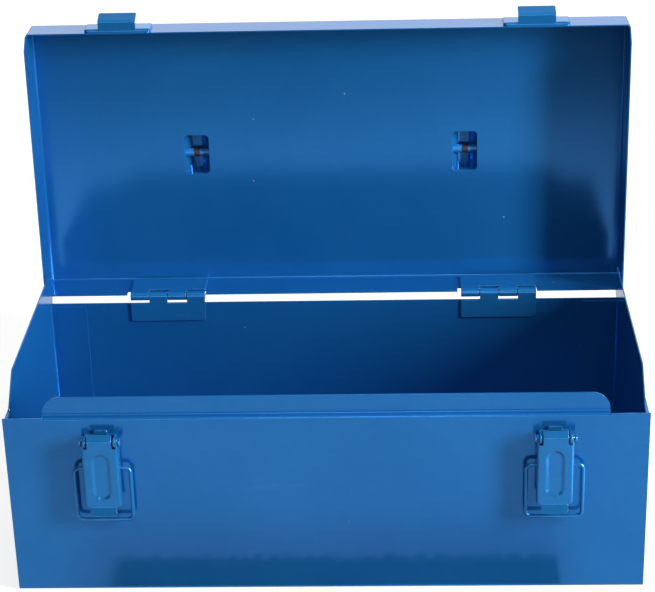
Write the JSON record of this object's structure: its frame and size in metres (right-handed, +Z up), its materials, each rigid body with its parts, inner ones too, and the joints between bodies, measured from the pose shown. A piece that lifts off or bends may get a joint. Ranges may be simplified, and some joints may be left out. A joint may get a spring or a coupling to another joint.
{
  "type": "hand tool box",
  "caption": "Folded sheet-steel hand tool box with a hinged tray lid, over-centre toggle latches with wire bails, and a folding bar handle on the lid.",
  "frame": {"origin": "centre of the underside, on the plane that the box stands on", "axes": "+X along the box's length, +Y from the latched front panel to the hinged back panel, +Z up"},
  "size_m": [0.4254, 0.2525, 0.3382],
  "materials": {
    "enamel": "gloss",
    "fitting_enamel": "gloss"
  },
  "bodies": {
    "case": {"body_shell": "enamel", "end_panel_left": "enamel", "end_panel_right": "enamel", "hinge_left_body_leaf": "fitting_enamel", "hinge_left_pin": "fitting_enamel", "hinge_right_body_leaf": "fitting_enamel", "hinge_right_pin": "fitting_enamel", "latch_left_base": "fitting_enamel", "latch_left_rivet": "fitting_enamel", "latch_right_base": "fitting_enamel", "latch_right_rivet": "fitting_enamel"},
    "lid": {"hinge_left_lid_leaf": "fitting_enamel", "hinge_right_lid_leaf": "fitting_enamel", "lid": "enamel", "catch_left": "fitting_enamel", "catch_right": "fitting_enamel"},
    "handle": {"handle": "enamel"},
    "lever_left": {"latch_left_lever": "fitting_enamel"},
    "bail_left": {"latch_left_bail": "fitting_enamel"},
    "lever_right": {"latch_right_lever": "fitting_enamel"},
    "bail_right": {"latch_right_bail": "fitting_enamel"}
  },
  "joints": [
    {"name": "lid_hinge", "type": "hinge", "parent": "case", "child": "lid", "pos_m": [0, 0.09965, 0.1277], "axis": [-1, 0, 0], "range_deg": [-91.5, 0]},
    {"name": "handle_swing", "type": "hinge", "parent": "lid", "child": "handle", "pos_m": [0, 0.13616, 0.22693], "axis": [1, 0, 0], "range_deg": [-2.5, 178.5]},
    {"name": "lever_left_swing", "type": "hinge", "parent": "case", "child": "lever_left", "pos_m": [-0.1463, -0.106, 0.1162], "axis": [-1, 0, 0], "range_deg": [0, 170]},
    {"name": "bail_left_swing", "type": "hinge", "parent": "lever_left", "child": "bail_left", "pos_m": [-0.1463, -0.1035, 0.0962], "axis": [-1, 0, 0], "range_deg": [-4, 180]},
    {"name": "lever_right_swing", "type": "hinge", "parent": "case", "child": "lever_right", "pos_m": [0.1487, -0.106, 0.1162], "axis": [-1, 0, 0], "range_deg": [0, 170]},
    {"name": "bail_right_swing", "type": "hinge", "parent": "lever_right", "child": "bail_right", "pos_m": [0.1487, -0.1035, 0.0962], "axis": [-1, 0, 0], "range_deg": [-4, 180]}
  ]
}
